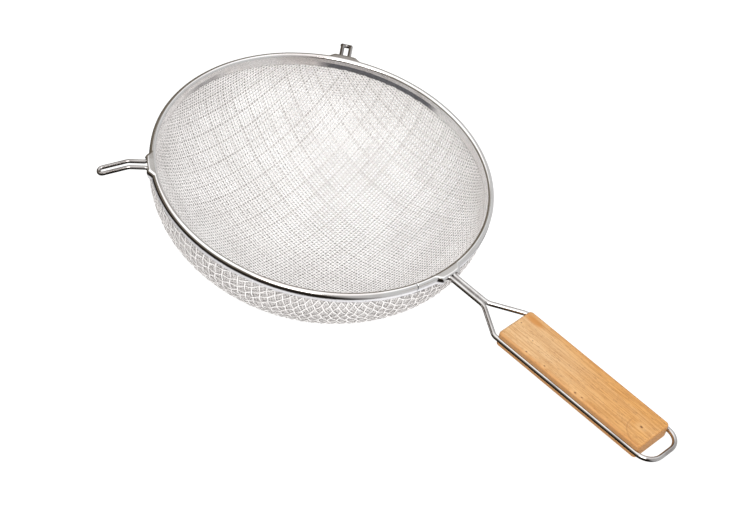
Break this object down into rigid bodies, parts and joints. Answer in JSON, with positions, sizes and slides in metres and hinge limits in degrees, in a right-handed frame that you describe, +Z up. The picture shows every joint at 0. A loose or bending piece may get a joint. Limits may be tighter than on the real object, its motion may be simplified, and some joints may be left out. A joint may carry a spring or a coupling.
{
  "type": "wire strainer",
  "caption": "Round double-mesh wire strainer with a rolled rim band, a bent wire handle with a flat wooden grip and hanging loop, and wire rests opposite the handle.",
  "frame": {"origin": "the point of the bowl's underside that touches the table when the strainer stands on its bowl and the end of its grip", "axes": "+X along the handle away from the bowl, +Z up, +Y to the left when looking from the bowl to the grip"},
  "size_m": [0.4549, 0.2664, 0.1389],
  "materials": {
    "fine_mesh": "bright tinned fine woven wire",
    "coarse_mesh": "bright tinned coarse woven wire",
    "band_steel": "polished rolled sheet",
    "wire_steel": "bright plated wire",
    "wood": "sanded unvarnished hardwood"
  },
  "bodies": {
    "root": {"inner_mesh": "fine_mesh", "outer_mesh": "coarse_mesh", "rim_band": "band_steel", "rim_hoop": "wire_steel", "handle_wire": "wire_steel", "grip": "wood", "rest_loop_left": "wire_steel", "rest_loop_right": "wire_steel"}
  },
  "joints": []
}
